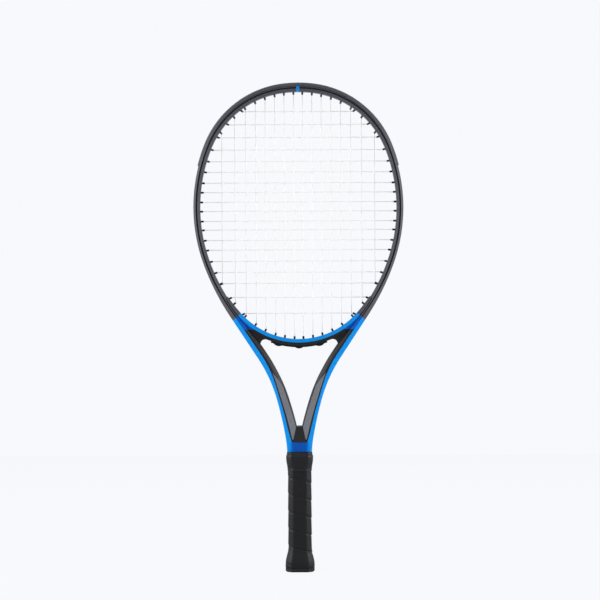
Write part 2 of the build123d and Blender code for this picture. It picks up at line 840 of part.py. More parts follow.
def knot_solid(route_end, before):
    """Small turned knot that holds the last bit of a string."""
    tip = Vector(*route_end)
    back = (Vector(*before) - tip).normalized()
    start = tip - back * (KNOT_LENGTH - KNOT_GRIP)
    r = KNOT_RADIUS
    waist = string_radius + KNOT_GAP + KNOT_WAIST_WALL
    edge = string_radius
    profile = [(0, 0), (edge, 0), (r, KNOT_LENGTH * 0.18), (r, KNOT_LENGTH * 0.36),
               (waist, KNOT_LENGTH * 0.5), (r, KNOT_LENGTH * 0.64), (r, KNOT_LENGTH * 0.82),
               (edge, KNOT_LENGTH), (0, KNOT_LENGTH)]
    face = Plane.XZ * Polygon(*profile, align=None)
    body = revolve(face, axis=Axis.Z)
    body = Plane(origin=start, z_dir=back) * body
    bore = rod(tuple(tip), tuple(tip + back * KNOT_LENGTH), string_radius + KNOT_GAP)
    return body, body - bore


knot_places = [
    (MAIN_ROUTE[0][0], MAIN_ROUTE[1][0]), (MAIN_ROUTE[-1][0], MAIN_ROUTE[-2][0]),
    (CROSS_ROUTE[0][0], CROSS_ROUTE[1][0]), (CROSS_ROUTE[-1][0], CROSS_ROUTE[-2][0]),
]
knot_pairs = [knot_solid(tip, before) for tip, before in knot_places]


def knot_space(route_end, before):
    """Room for one knot in the strip channel."""
    tip = Vector(*route_end)
    back = (Vector(*before) - tip).normalized()
    near = tip - back * (KNOT_LENGTH - KNOT_GRIP + KNOT_ROOM)
    far = tip + back * (KNOT_GRIP + KNOT_ROOM)
    return rod(tuple(near), tuple(far), KNOT_RADIUS + KNOT_ROOM)


knot_room = [knot_space(tip, before) for tip, before in knot_places]
string_knots = Compound(children=[solid.solid() for body, solid in knot_pairs])


def barrels(chosen):
    """Tubes from the strip to the tips, for the chosen string ends."""
    return [end_rod(end, side, y, 0.0, end["reach"] - STRING_DIAMETER * 0.9,
                    BARREL_DIAMETER / 2) for end, side, y, throat in chosen]


def relieved(shape, runs):
    """Cut the string runs out of a grommet piece and keep its one solid."""
    box = shape.bounding_box()
    for run in runs:
        other = run.bounding_box()
        apart = other.min.X > box.max.X or other.max.X < box.min.X
        apart = apart or other.min.Z > box.max.Z or other.max.Z < box.min.Z
        if not apart:
            shape = shape - run
    return shape


def is_under_bumper(end):
    return end["run"] < BUMPER_RUN


SIDE_ENDS = [e for e in ENDS if not e[3] and not is_under_bumper(e[0])]
TOP_ENDS = [e for e in ENDS if not e[3] and is_under_bumper(e[0])]
THROAT_ENDS = [e for e in ENDS if e[3]]
FLOOR_U = GROOVE_U + STRIP_FLOOR
strip_body = groove_band(GROOVE_U, BEAM_WIDTH, STRIP_WIDTH, BUMPER_RUN + 0.3, STRIP_LOW_RUN - 0.3)
strip_channel = groove_band(FLOOR_U, BEAM_WIDTH + 1, CHANNEL_WIDTH, 0, STRIP_LOW_RUN - 2.0)


def side_strip(side):
    body = strip_body if side == 1 else mirror(strip_body, about=Plane.YZ)
    channel = strip_channel if side == 1 else mirror(strip_channel, about=Plane.YZ)
    for barrel in barrels([e for e in SIDE_ENDS if e[1] == side]):
        body = body + barrel
    return relieved(body - channel, wide_runs + knot_room)


grommet_strip_left = side_strip(-1)
grommet_strip_right = side_strip(1)

bumper_points = [
    (CREST_FROM_OUTER, BUMPER_WIDTH / 2 - 2.6), (BEAM_WIDTH - CREST_FROM_OUTER, BUMPER_WIDTH / 2),
    (BEAM_WIDTH + 0.1, BUMPER_SHOULDER / 2), (BEAM_WIDTH + BUMPER_SIDE, BUMPER_FACE / 2),
]
bumper_outline = [(u, -y) for u, y in bumper_points] + [(u, y) for u, y in reversed(bumper_points)]
bumper_half = fuse_all([
    ring(HEAD[0], bumper_outline, lift=BUMPER_CROWN),
    ring(HEAD[1], bumper_outline, lift=BUMPER_CROWN),
    ring(HEAD[2], bumper_outline, end=BUMPER_ANGLE, lift=BUMPER_CROWN),
])
bumper_guard = both(bumper_half) - skin
bumper_guard = bumper_guard + both(groove_band(GROOVE_U, BEAM_WIDTH + 0.3, STRIP_WIDTH, 0, BUMPER_RUN))
for barrel in barrels(TOP_ENDS):
    bumper_guard = bumper_guard + barrel
bumper_channel_top = BEAM_WIDTH + BUMPER_SIDE + BUMPER_CROWN + 1.0
bumper_guard = bumper_guard - both(
    groove_band(FLOOR_U, bumper_channel_top, CHANNEL_WIDTH, 0, BUMPER_RUN + 5.0))
bumper_guard = relieved(bumper_guard, wide_runs + knot_room)

wave_centres = []
throat_seats = [low["seat"][0] for offset, top, low in MAINS[:THROAT_MAINS]]
wave_centres.append(0.0)
wave_centres.append((throat_seats[1] + throat_seats[2]) / 2)
wave_centres.append(-(throat_seats[1] + throat_seats[2]) / 2)


def wave(x):
    """One rounded wave that covers a string run under the bridge."""
    under = BRIDGE_CENTRE[1] - math.sqrt((BRIDGE_RADIUS + BEAM_WIDTH) ** 2 - x ** 2)
    plane = Plane(origin=(x, STRIP_WIDTH / 2, under + WAVE_RADIUS - WAVE_DROP),
                  x_dir=(1, 0, 0), z_dir=(0, -1, 0))
    return extrude(plane * Circle(WAVE_RADIUS), STRIP_WIDTH)


wave_zone = throat_ring(BEAM_WIDTH - 0.3, BEAM_WIDTH + 6, STRIP_WIDTH, STRIP_END_MARGIN - 1.5)
throat_grommets = throat_ring(
    GROOVE_U, BEAM_WIDTH + THROAT_PROUD, STRIP_WIDTH, STRIP_END_MARGIN - 1.2)
for x in wave_centres:
    throat_grommets = throat_grommets + (wave(x) & wave_zone)
for barrel in barrels(THROAT_ENDS):
    throat_grommets = throat_grommets + barrel
throat_grommets = throat_grommets - throat_ring(
    FLOOR_U, BEAM_WIDTH + 6, CHANNEL_WIDTH, STRIP_END_MARGIN - 3.0)
throat_grommets = relieved(throat_grommets, wide_runs)

# ---------------------------------------------------------------------------
# Handle
# ---------------------------------------------------------------------------

HALF_STEP = PALLET_HALF_X - PALLET_HALF_Y


def octagon(half_x, chamfer, z, half_y=None):
    """Eight-sided face; Y is narrower than X by the pallet's own step."""
    y = half_x - HALF_STEP if half_y is None else half_y
    points = [
        (-half_x + chamfer, -y), (half_x - chamfer, -y), (half_x, -y + chamfer),
        (half_x, y - chamfer), (half_x - chamfer, y), (-half_x + chamfer, y),
        (-half_x, y - chamfer), (-half_x, -y + chamfer),
    ]
    return Plane.XY.offset(z) * Polygon(*points, align=None)


def stack(levels):
    """Straight-sided solid through octagons given as (half x, chamfer, z)."""
    pieces = []
    for low, high in zip(levels, levels[1:]):
        pieces.append(loft([octagon(*low), octagon(*high)], ruled=True))
    return fuse_all(pieces)


GRIP_CORNER = GRIP_THICKNESS * (2 - math.sqrt(2))
pallet_end = PALLET_HALF_X - PALLET_END_STEP
pallet_outer = stack([
    (PALLET_HALF_X, PALLET_CHAMFER, CAP_SKIRT_Z), (PALLET_HALF_X, PALLET_CHAMFER, PALLET_TOP_Z)])
pallet_low = stack([
    (pallet_end, PALLET_CHAMFER, PALLET_BOTTOM_Z), (pallet_end, PALLET_CHAMFER, CAP_SKIRT_Z)])
handle_pallet = pallet_outer + pallet_low - skin

cap_outer = stack([
    (LIP_HALF - LIP_EDGE, PALLET_CHAMFER + 1.0, 0.0),
    (LIP_HALF, PALLET_CHAMFER + 2.0, LIP_EDGE),
    (LIP_HALF, PALLET_CHAMFER + 2.0, GRIP_BOTTOM_Z),
]) + stack([
    (FLARE_HALF, PALLET_CHAMFER + 1.4, GRIP_BOTTOM_Z),
    (FLARE_HALF, PALLET_CHAMFER + 1.4, FLARE_LOW_Z),
    (PALLET_HALF_X, PALLET_CHAMFER, FLARE_TOP_Z),
    (PALLET_HALF_X, PALLET_CHAMFER, CAP_SKIRT_Z),
])
badge_recess = stack([(BADGE_HALF, 4.5, 0.0), (BADGE_HALF, 4.5, BADGE_THICKNESS)])
butt_cap = cap_outer - pallet_low - badge_recess
butt_badge = badge_recess


def staple(x, side):
    """Staple: crown sunk in the skirt, two legs into the pallet."""
    face_y = PALLET_HALF_Y * side
    crown = Pos(x, face_y - side * STAPLE_WIRE / 2, STAPLE_Z) * Box(
        STAPLE_WIDTH - 1.5, STAPLE_WIRE, STAPLE_BLADE)
    leg_x = (STAPLE_WIDTH - 1.5 - STAPLE_WIRE) / 2
    for leg in (-leg_x, leg_x):
        crown = crown + Pos(x + leg, face_y - side * STAPLE_LEG / 2, STAPLE_Z) * Box(
            STAPLE_WIRE, STAPLE_LEG, STAPLE_BLADE)
    return crown


staples = [staple(x, side) for x in (-STAPLE_SPACING / 2 + 1, STAPLE_SPACING / 2 - 1) for side in (-1, 1)]
for piece in staples:
    butt_cap = butt_cap - piece
    handle_pallet = handle_pallet - piece
butt_staples = Compound(children=[piece.solid() for piece in staples])

grip_outer = stack([
    (FLARE_HALF + GRIP_THICKNESS, PALLET_CHAMFER + 1.4 + GRIP_CORNER, GRIP_BOTTOM_Z),
    (FLARE_HALF + GRIP_THICKNESS, PALLET_CHAMFER + 1.4 + GRIP_CORNER, FLARE_LOW_Z),
    (PALLET_HALF_X + GRIP_THICKNESS, PALLET_CHAMFER + GRIP_CORNER, FLARE_TOP_Z),
    (PALLET_HALF_X + GRIP_THICKNESS, PALLET_CHAMFER + GRIP_CORNER, GRIP_TOP_Z),
])
grip_wrap = grip_outer - cap_outer - pallet_outer

tape_half = PALLET_HALF_X + GRIP_THICKNESS + TAPE_THICKNESS
tape_corner = PALLET_CHAMFER + (GRIP_THICKNESS + TAPE_THICKNESS) * (2 - math.sqrt(2))
tape_outer = stack([(tape_half, tape_corner, TAPE_BOTTOM_Z), (tape_half, tape_corner, GRIP_TOP_Z)])
finishing_tape = tape_outer - grip_outer

collar_corner = PALLET_CHAMFER + 1.6


def collar_face(half_x, half_y, chamfer, z):
    return octagon(half_x, chamfer, z, half_y)


collar_body = loft([
    collar_face(COLLAR_HALF_X, COLLAR_HALF_Y, collar_corner, COLLAR_BOTTOM_Z),
    collar_face(COLLAR_HALF_X, COLLAR_HALF_Y, collar_corner, COLLAR_TOP_Z - COLLAR_LIP),
], ruled=True)
collar_lip = loft([
    collar_face(COLLAR_HALF_X - COLLAR_LIP_STEP, COLLAR_HALF_Y - COLLAR_LIP_STEP, collar_corner,
                COLLAR_TOP_Z - COLLAR_LIP),
    collar_face(COLLAR_HALF_X - COLLAR_LIP_STEP, BEAM_DEPTH / 2 + 2.0, 3.5, COLLAR_TOP_Z),
], ruled=True)
rubber_collar = collar_body + collar_lip - skin - pallet_outer - grip_outer - tape_outer

NODES = {
    "frame_hairpin": frame_hairpin,
    "throat_bridge": throat_bridge,
    "throat_plug": throat_plug,
    "bumper_guard": bumper_guard,
    "grommet_strip_left": grommet_strip_left,
    "grommet_strip_right": grommet_strip_right,
    "throat_grommets": throat_grommets,
    "main_string": main_string,
    "cross_string": cross_string,
    "string_knots": string_knots,
    "handle_pallet": handle_pallet,
    "butt_cap": butt_cap,
    "butt_badge": butt_badge,
    "butt_staples": butt_staples,
    "grip_wrap": grip_wrap,
    "finishing_tape": finishing_tape,
    "rubber_collar": rubber_collar,
}

for name, shape in NODES.items():
    export_step(shape, "parts/" + name + ".step")
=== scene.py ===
import math

import bpy
import numpy as np
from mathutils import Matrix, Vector


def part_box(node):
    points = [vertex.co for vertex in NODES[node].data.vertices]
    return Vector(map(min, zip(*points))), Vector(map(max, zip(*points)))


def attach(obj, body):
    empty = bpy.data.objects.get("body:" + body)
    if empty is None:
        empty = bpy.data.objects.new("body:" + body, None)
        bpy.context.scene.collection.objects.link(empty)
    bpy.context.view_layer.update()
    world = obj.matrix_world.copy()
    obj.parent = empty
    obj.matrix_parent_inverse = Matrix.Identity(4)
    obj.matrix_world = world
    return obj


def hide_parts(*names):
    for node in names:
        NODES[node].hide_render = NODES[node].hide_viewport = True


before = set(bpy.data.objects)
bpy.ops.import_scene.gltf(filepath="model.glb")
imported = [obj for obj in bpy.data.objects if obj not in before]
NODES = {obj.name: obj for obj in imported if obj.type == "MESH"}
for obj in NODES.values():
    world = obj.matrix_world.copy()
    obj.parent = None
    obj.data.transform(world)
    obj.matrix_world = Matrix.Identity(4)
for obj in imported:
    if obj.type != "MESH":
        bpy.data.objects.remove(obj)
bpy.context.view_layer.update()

# ---------------------------------------------------------------------------
# Sizes in metres: +Z from butt to head, X across the head, Y beam depth
# ---------------------------------------------------------------------------

MM = 0.001
HALF_DEPTH = 11.0 * MM
OUTER_HALF = 7.5 * MM
INNER_HALF = 6.5 * MM
BASE_INNER_HALF = 10.6 * MM
GROOVE_DEPTH = 2.2 * MM
GROOVE_HALF = 3.3 * MM
STATION_STEP = 3.0 * MM
STEM_TOP_Z = 140.0 * MM
CORNER_STEPS = 4

TOP = (150.9, 8.0)
SHOULDER = (116.3, 68.3)
SIDE = (206.5, 131.6)
LEAVE_ANGLE = 109.5
HAUNCH_RADIUS = 320.0
SHAFT_ANGLE = 123.35
NECK = (191.0, 105.7)
TAPER = (486.0, 99.7)
FOOT_RADIUS = 143.0
SHAFT_END = (16.0, 150.0)
BEAM = 8.8

# Height of the outer line, then beam width, crest start and crest end, mm
SECTION_TABLE = [
    (172.0, 17.2, 7.4, 16.6),
    (189.0, 17.0, 7.4, 16.0),
    (229.0, 15.2, 5.6, 12.7),
    (257.0, 13.7, 6.0, 8.0),
    (288.0, 13.2, 6.2, 7.6),
    (300.0, 12.8, 6.2, 7.6),
    (315.0, 12.0, 6.0, 7.2),
    (343.0, 10.2, 4.6, 6.0),
    (380.0, 8.8, 3.0, 5.2),
]

# Paint on the shafts: height, end of the blue, start and end of the grey painted reflection, mm from the
# outer line
PAINT_TABLE = [
    (166.0, 7.0, 8.6, 16.0),
    (171.0, 6.5, 8.3, 16.4),
    (180.0, 5.3, 7.6, 16.6),
    (189.0, 4.8, 7.3, 15.6),
    (229.0, 3.8, 5.6, 12.8),
    (241.0, 4.3, 6.0, 12.4),
    (250.0, 5.0, 6.6, 10.0),
    (258.0, 5.6, 7.1, 7.3),
    (275.0, 6.3, 8.0, 8.0),
    (300.0, 6.0, 8.0, 8.0),
    (331.0, 5.0, 8.0, 8.0),
]


def normal(angle):
    a = math.radians(angle)
    return np.array([math.sin(a), math.cos(a)])


def outer_chain():
    """Outer line of the right half, top to handle: (kind, centre or start, radius or end, angles)."""
    top = np.array([0.0, -TOP[0]])
    shoulder = top + normal(TOP[1]) * (TOP[0] - SHOULDER[0])
    side = shoulder + normal(SHOULDER[1]) * (SHOULDER[0] - SIDE[0])
    haunch = side + normal(LEAVE_ANGLE) * (SIDE[0] + BEAM - HAUNCH_RADIUS)
    start = haunch + normal(SHAFT_ANGLE) * HAUNCH_RADIUS
    turn = normal(SHAFT_ANGLE) * NECK[0]
    turn = turn + normal(NECK[1]) * (TAPER[0] - NECK[0])
    turn = turn + normal(TAPER[1]) * (FOOT_RADIUS - TAPER[0])
    turn = turn + normal(90.0) * -FOOT_RADIUS
    run = normal(SHAFT_ANGLE + 90.0)
    end = start + run * ((SHAFT_END[0] - start[0] - turn[0]) / run[0])
    neck = end + normal(SHAFT_ANGLE) * NECK[0]
    taper = neck + normal(NECK[1]) * (TAPER[0] - NECK[0])
    foot = taper + normal(TAPER[1]) * (FOOT_RADIUS - TAPER[0])
    lift = SHAFT_END[1] - (foot + normal(90.0) * -FOOT_RADIUS)[1]
    rise = np.array([0.0, lift])
    return [
        ("arc", top + rise, TOP[0] + BEAM, 0.0, TOP[1]),
        ("arc", shoulder + rise, SHOULDER[0] + BEAM, TOP[1], SHOULDER[1]),
        ("arc", side + rise, SIDE[0] + BEAM, SHOULDER[1], LEAVE_ANGLE),
        ("arc", haunch + rise, HAUNCH_RADIUS, LEAVE_ANGLE, SHAFT_ANGLE),
        ("line", start + rise, end + rise, SHAFT_ANGLE, SHAFT_ANGLE),
        ("hollow", neck + rise, NECK[0], SHAFT_ANGLE, NECK[1]),
        ("hollow", taper + rise, TAPER[0], NECK[1], TAPER[1]),
        ("hollow", foot + rise, FOOT_RADIUS, TAPER[1], 90.0),
        ("line", np.array(SHAFT_END), np.array([SHAFT_END[0], STEM_TOP_Z / MM]), 90.0, 90.0),
    ]


def outer_stations():
    """Points and outward directions down the right half, in metres."""
    stations = []
    run = 0.0
    for kind, first, second, start, end in outer_chain():
        if kind == "line":
            length = float(np.linalg.norm(second - first))
        else:
            length = abs(math.radians(end - start)) * second
        count = max(2, math.ceil(length * MM / STATION_STEP))
        for i in range(count + 1):
            if i == 0 and stations:
                continue
            t = i / count
            out = normal(start + (end - start) * t)
            if kind == "line":
                point = first + (second - first) * t
            elif kind == "arc":
                point = first + out * second
            else:
                point = first - out * second
            stations.append((point * MM, out, (run + length * t) * MM))
        run += length
    return stations


# ---------------------------------------------------------------------------
# Mesh helpers
# ---------------------------------------------------------------------------


def mesh_object(name, verts, faces, layers=()):
    """Smooth mesh; layers are (name, one pair for each vertex)."""
    mesh = bpy.data.meshes.new(name)
    mesh.from_pydata([tuple(v) for v in verts], [], faces)
    order = [i for face in faces for i in face]
    for layer_name, pairs in layers:
        layer = mesh.uv_layers.new(name=layer_name)
        layer.data.foreach_set("uv", np.array([pairs[i] for i in order], np.float32).ravel())
    mesh.polygons.foreach_set("use_smooth", [True] * len(mesh.polygons))
    mesh.update()
    obj = bpy.data.objects.new(name, mesh)
    bpy.context.scene.collection.objects.link(obj)
    weighted = obj.modifiers.new("flat_faces", "WEIGHTED_NORMAL")
    weighted.keep_sharp = True
    weighted.weight = 60
    return obj


def tube_faces(rows, columns):
    """Quads round closed rows, with a face over each end."""
    faces = []
    for r in range(rows - 1):
        for c in range(columns):
            d = (c + 1) % columns
            low, high = r * columns, (r + 1) * columns
            faces.append((low + c, low + d, high + d, high + c))
    faces.append(tuple(reversed(range(columns))))
    faces.append(tuple((rows - 1) * columns + c for c in range(columns)))
    return faces


def rounded(corners, cuts):
    """Half-section polyline with each inner corner turned into a small curve."""
    points = [(corners[0], 0.0)]
    for k in range(1, len(corners) - 1):
        p, a, b = corners[k], corners[k - 1], corners[k + 1]
        to_a, to_b = a - p, b - p
        la, lb = np.linalg.norm(to_a), np.linalg.norm(to_b)
        cut_a, cut_b = min(cuts[k], la * 0.45), min(cuts[k], lb * 0.45)
        pa = p + to_a / max(la, 1e-9) * cut_a
        pb = p + to_b / max(lb, 1e-9) * cut_b
        for j in range(CORNER_STEPS + 1):
            t = j / CORNER_STEPS
            q = pa * (1 - t) ** 2 + p * 2 * t * (1 - t) + pb * t ** 2
            points.append((q, k - 0.08 + 0.16 * t))
    points.append((corners[-1], float(len(corners) - 1)))
    return points


# ---------------------------------------------------------------------------
# Shader helpers
# ---------------------------------------------------------------------------


class Shade:
    def __init__(self, name):
        self.mat = bpy.data.materials.new(name)
        self.mat.use_nodes = True
        self.tree = self.mat.node_tree
        self.bsdf = self.tree.nodes["Principled BSDF"]
        self.coord = self.tree.nodes.new("ShaderNodeTexCoord")

    def put(self, value, socket):
        if isinstance(value, bpy.types.NodeSocket):
            self.tree.links.new(value, socket)
        else:
            socket.default_value = value

    def set(self, name, value):
        self.put(value, self.bsdf.inputs[name])

    def math(self, operation, *values):
        node = self.tree.nodes.new("ShaderNodeMath")
        node.operation = operation
        for value, socket in zip(values, node.inputs):
            self.put(value, socket)
        return node.outputs[0]

    def axes(self, source):
        node = self.tree.nodes.new("ShaderNodeSeparateXYZ")
        self.tree.links.new(self.coord.outputs[source], node.inputs[0])
        return node.outputs

    def above(self, value, edge, soft=0.0002):
        """0 below an edge and 1 above it."""
        node = self.tree.nodes.new("ShaderNodeMapRange")
        node.interpolation_type = "SMOOTHSTEP"
        self.put(value, node.inputs["Value"])
        if isinstance(edge, bpy.types.NodeSocket):
            self.put(self.math("SUBTRACT", edge, soft), node.inputs["From Min"])
            self.put(self.math("ADD", edge, soft), node.inputs["From Max"])
        else:
            node.inputs["From Min"].default_value = edge - soft
            node.inputs["From Max"].default_value = edge + soft
        return node.outputs[0]

    def invert(self, value):
        return self.math("SUBTRACT", 1.0, value)

    def both(self, *masks):
        result = masks[0]
        for mask in masks[1:]:
            result = self.math("MULTIPLY", result, mask)
        return result

    def mix(self, factor, first, second):
        node = self.tree.nodes.new("ShaderNodeMix")
        node.data_type = "RGBA"
        self.put(factor, node.inputs["Factor"])
        for value, socket in ((first, node.inputs[6]), (second, node.inputs[7])):
            if not isinstance(value, bpy.types.NodeSocket):
                value = (*value, 1.0)
            self.put(value, socket)
        return node.outputs[2]

    def mix_value(self, factor, first, second):
        node = self.tree.nodes.new("ShaderNodeMix")
        self.put(factor, node.inputs["Factor"])
        self.put(first, node.inputs[2])
        self.put(second, node.inputs[3])
        return node.outputs[0]

    def layer(self, name):
        """The two values of a named mesh layer."""
        source = self.tree.nodes.new("ShaderNodeUVMap")
        source.uv_map = name
        node = self.tree.nodes.new("ShaderNodeSeparateXYZ")
        self.tree.links.new(source.outputs[0], node.inputs[0])
        return node.outputs[0], node.outputs[1]

    def noise(self, scale, detail=3.0):
        node = self.tree.nodes.new("ShaderNodeTexNoise")
        self.tree.links.new(self.coord.outputs["Object"], node.inputs["Vector"])
        node.inputs["Scale"].default_value = scale
        node.inputs["Detail"].default_value = detail
        return node.outputs["Fac"]

    def bump(self, height, strength, distance):
        node = self.tree.nodes.new("ShaderNodeBump")
        node.inputs["Strength"].default_value = strength
        node.inputs["Distance"].default_value = distance
        self.put(height, node.inputs["Height"])
        self.tree.links.new(node.outputs[0], self.bsdf.inputs["Normal"])


def moulded(name, dark, light, rough, grain, bump=0.15, specular=0.15):
    """Moulded plastic or rubber: fine grain, slow tone change, uneven sheen."""
    s = Shade(name)
    slow = s.noise(35.0)
    fine = s.noise(grain, 2.0)
    s.set("Base Color", s.mix(slow, dark, light))
    s.set("Roughness", s.mix_value(s.noise(90.0), rough - 0.06, rough + 0.08))
    s.set("Specular IOR Level", specular)
    s.bump(fine, bump, 0.0002)
    return s.mat


BLACK = (0.003, 0.003, 0.004)
WEB_BLACK = (0.016, 0.016, 0.018)
# Lighter copies of the black head paint for its outer and inner facets: painted light from the side
# lamps
HOOP_OUTER_PAINTED_LIGHT = (0.090, 0.088, 0.095)
HOOP_INNER_PAINTED_LIGHT = (0.068, 0.071, 0.085)
RIM = (0.040, 0.040, 0.045)
# Grey on the shafts' front facets: a softbox's reflection on the satin black, painted into the colour
GREY_PAINTED_REFLECTION = (0.195, 0.198, 0.215)
BLUE = (0.0, 0.255, 0.71)
# Darker blue: painted shade in the valley between the tubes and on the front-facing centre of the foot
BLUE_PAINTED_SHADE = (0.0, 0.085, 0.42)
GLOSS = 0.10
DUST = (0.010, 0.010, 0.012)
DUST_SHARE = 0.08

# Heights and half widths of the painted areas
PAINT_LINE = (0.076, 0.3349)
PAINT_LINE_FACING = (-0.664, -0.748)
TICK_HALF = 0.0019
TICK_LOW_Z = 0.6228
WEB_TOP_Z = 0.3144
REFLECTION_LOW_Z = 0.1715
REFLECTION_HIGH_Z = 0.2585
FOOT_Z = 0.1677
FOOT_CENTRE_HALF = 0.0112
COLLAR_BLACK_Z = 0.1554
BRIDGE_BAND = 0.0045
PINHOLE_PITCH = 0.0055


def blue_side(s, x, z):
    """1 on the handle side of the slanting black to blue paint line."""
    across = s.math("MULTIPLY", s.math("SUBTRACT", x, PAINT_LINE[0]), PAINT_LINE_FACING[0])
    down = s.math("MULTIPLY", s.math("SUBTRACT", z, PAINT_LINE[1]), PAINT_LINE_FACING[1])
    return s.above(s.math("ADD", across, down), 0.0, 0.00025)


def frame_paint():
    """Black head with painted light on its outer and inner facets, blue shafts with painted shade in the
    valley and at the foot's centre, and a grey painted reflection on the side facets; V counts the
    facets of the section.
    """
    s = Shade("frame_paint")
    x_signed, _, z = s.axes("Object")
    x = s.math("ABSOLUTE", x_signed)
    run, facet = s.layer("surface")
    depth, blue_limit = s.layer("paint")
    reflection_start, reflection_end = s.layer("reflection_band")
    slow = s.noise(22.0)

    # The head's outer and inner facets are lighter than its black crest: painted light
    outer_band = s.invert(s.above(facet, 4.0, 0.03))
    inner_band = s.above(facet, 5.0, 0.03)
    head = s.mix(outer_band, BLACK, HOOP_OUTER_PAINTED_LIGHT)
    head = s.mix(inner_band, head, HOOP_INNER_PAINTED_LIGHT)
    tick = s.both(s.invert(s.above(x, TICK_HALF, 0.0001)), s.above(z, TICK_LOW_Z, 0.0002))
    head = s.mix(tick, head, BLUE)

    blue_zone = s.invert(s.above(depth, blue_limit, 0.00012))
    # Above the web the valley is a darker blue: painted shade in the recess
    valley = s.mix(s.above(z, WEB_TOP_Z, 0.0006), WEB_BLACK, BLUE_PAINTED_SHADE)
    # Grey band on the shafts' front facets: painted reflection
    reflection_band = s.both(s.above(depth, reflection_start, 0.00015), s.invert(s.above(depth, reflection_end, 0.00015)))
    reflection_band = s.both(reflection_band, s.above(z, REFLECTION_LOW_Z, 0.0004), s.invert(s.above(z, REFLECTION_HIGH_Z, 0.0006)))
    rim = s.both(s.above(depth, s.math("ADD", reflection_start, 0.0022), 0.0018), s.above(z, 0.172, 0.001),
                 s.invert(s.above(z, 0.290, 0.018)))
    inside = s.mix(rim, valley, RIM)
    inside = s.mix(reflection_band, inside, GREY_PAINTED_REFLECTION)
    shaft = s.mix(blue_zone, inside, BLUE)
    foot = s.invert(s.above(z, FOOT_Z, 0.0003))
    # The front centre of the foot is a darker blue: painted shade on the front-facing face between the
    # lit bevels
    centre = s.invert(s.above(x, FOOT_CENTRE_HALF, 0.0032))
    shaft = s.mix(foot, shaft, s.mix(centre, BLUE, BLUE_PAINTED_SHADE))
    shaft = s.mix(s.invert(s.above(z, COLLAR_BLACK_Z, 0.0002)), shaft, BLACK)

    colour = s.mix(blue_side(s, x, z), head, shaft)
    colour = s.mix(s.math("MULTIPLY", slow, DUST_SHARE), colour, DUST)
    s.set("Base Color", colour)
    s.set("Roughness", s.mix_value(reflection_band, s.mix_value(slow, 0.28, 0.36), 0.55))
    s.set("Specular IOR Level", GLOSS)
    s.bump(hatch(s, run, s.noise(1400.0, 2.0)), 0.05, 0.0001)
    return s.mat


def hatch(s, run, grain):
    """Fine fibre hatch under the lacquer, mixed with its grain."""
    wave = s.math("SINE", s.math("MULTIPLY", run, 2600.0))
    return s.math("ADD", s.math("MULTIPLY", wave, 0.35), grain)


def bridge_paint():
    s = Shade("bridge_paint")
    x_signed, _, z = s.axes("Object")
    x = s.math("ABSOLUTE", x_signed)
    # Distance from the centre of the bridge's arc, to tell the upper band from the lower
    dz = s.math("SUBTRACT", z, BRIDGE_CENTRE_Z)
    reach = s.math("SQRT", s.math("ADD", s.math("MULTIPLY", x, x), s.math("MULTIPLY", dz, dz)))
    upper = s.invert(s.above(reach, BRIDGE_RADIUS + BRIDGE_BAND, 0.00015))
    low_web = s.invert(s.above(z, WEB_TOP_Z, 0.0006))
    # Outside the blue band and above the web the blue is darker: painted shade in the valley
    outside = s.mix(low_web, BLUE_PAINTED_SHADE, WEB_BLACK)
    colour = s.mix(upper, outside, BLUE)
    # Head end of the bridge: the inner band is lighter than the black, painted light
    colour = s.mix(blue_side(s, x, z), s.mix(upper, BLACK, HOOP_INNER_PAINTED_LIGHT), colour)
    slow = s.noise(22.0)
    colour = s.mix(s.math("MULTIPLY", slow, DUST_SHARE), colour, DUST)
    s.set("Base Color", colour)
    s.set("Roughness", s.mix_value(slow, 0.27, 0.36))
    s.set("Specular IOR Level", GLOSS)
    s.bump(s.noise(1400.0, 2.0), 0.06, 0.0001)
    return s.mat


def gut(name):
    """Pale synthetic string with faint lengthwise tone changes."""
    s = Shade(name)
    s.set("Base Color", s.mix(s.noise(260.0, 2.0), (0.90, 0.89, 0.84), (0.94, 0.93, 0.88)))
    s.set("Roughness", s.mix_value(s.noise(500.0), 0.30, 0.45))
    s.bump(s.noise(2500.0, 1.0), 0.08, 0.0001)
    return s.mat


def grip_material():
    """Cushioned wrap: rows of pinholes along the strip, fine grain, soft sheen."""
    s = Shade("grip_cushion")
    along, up = s.layer("surface")
    holes = []
    for value, pitch in ((along, PINHOLE_PITCH), (up, PINHOLE_PITCH)):
        phase = s.math("FRACT", s.math("DIVIDE", value, pitch))
        holes.append(s.math("ABSOLUTE", s.math("SUBTRACT", phase, 0.5)))
    reach = s.math("SQRT", s.math("ADD", s.math("MULTIPLY", holes[0], holes[0]),
                                  s.math("MULTIPLY", holes[1], holes[1])))
    pinhole = s.invert(s.above(reach, 0.10, 0.03))
    slow = s.noise(60.0)
    colour = s.mix(slow, (0.004, 0.004, 0.005), (0.009, 0.009, 0.011))
    s.set("Base Color", s.mix(pinhole, colour, (0.002, 0.002, 0.002)))
    s.set("Specular IOR Level", 0.17)
    s.set("Roughness", s.mix_value(s.noise(120.0), 0.36, 0.50))
    grain = s.math("MULTIPLY", s.noise(900.0, 4.0), 0.35)
    s.bump(s.math("SUBTRACT", grain, pinhole), 0.35, 0.0003)
    return s.mat


def steel(name):
    s = Shade(name)
    s.set("Metallic", 1.0)
    s.set("Base Color", s.mix(s.noise(80.0), (0.55, 0.55, 0.57), (0.72, 0.72, 0.74)))
    s.set("Roughness", s.mix_value(s.noise(700.0), 0.22, 0.38))
    return s.mat


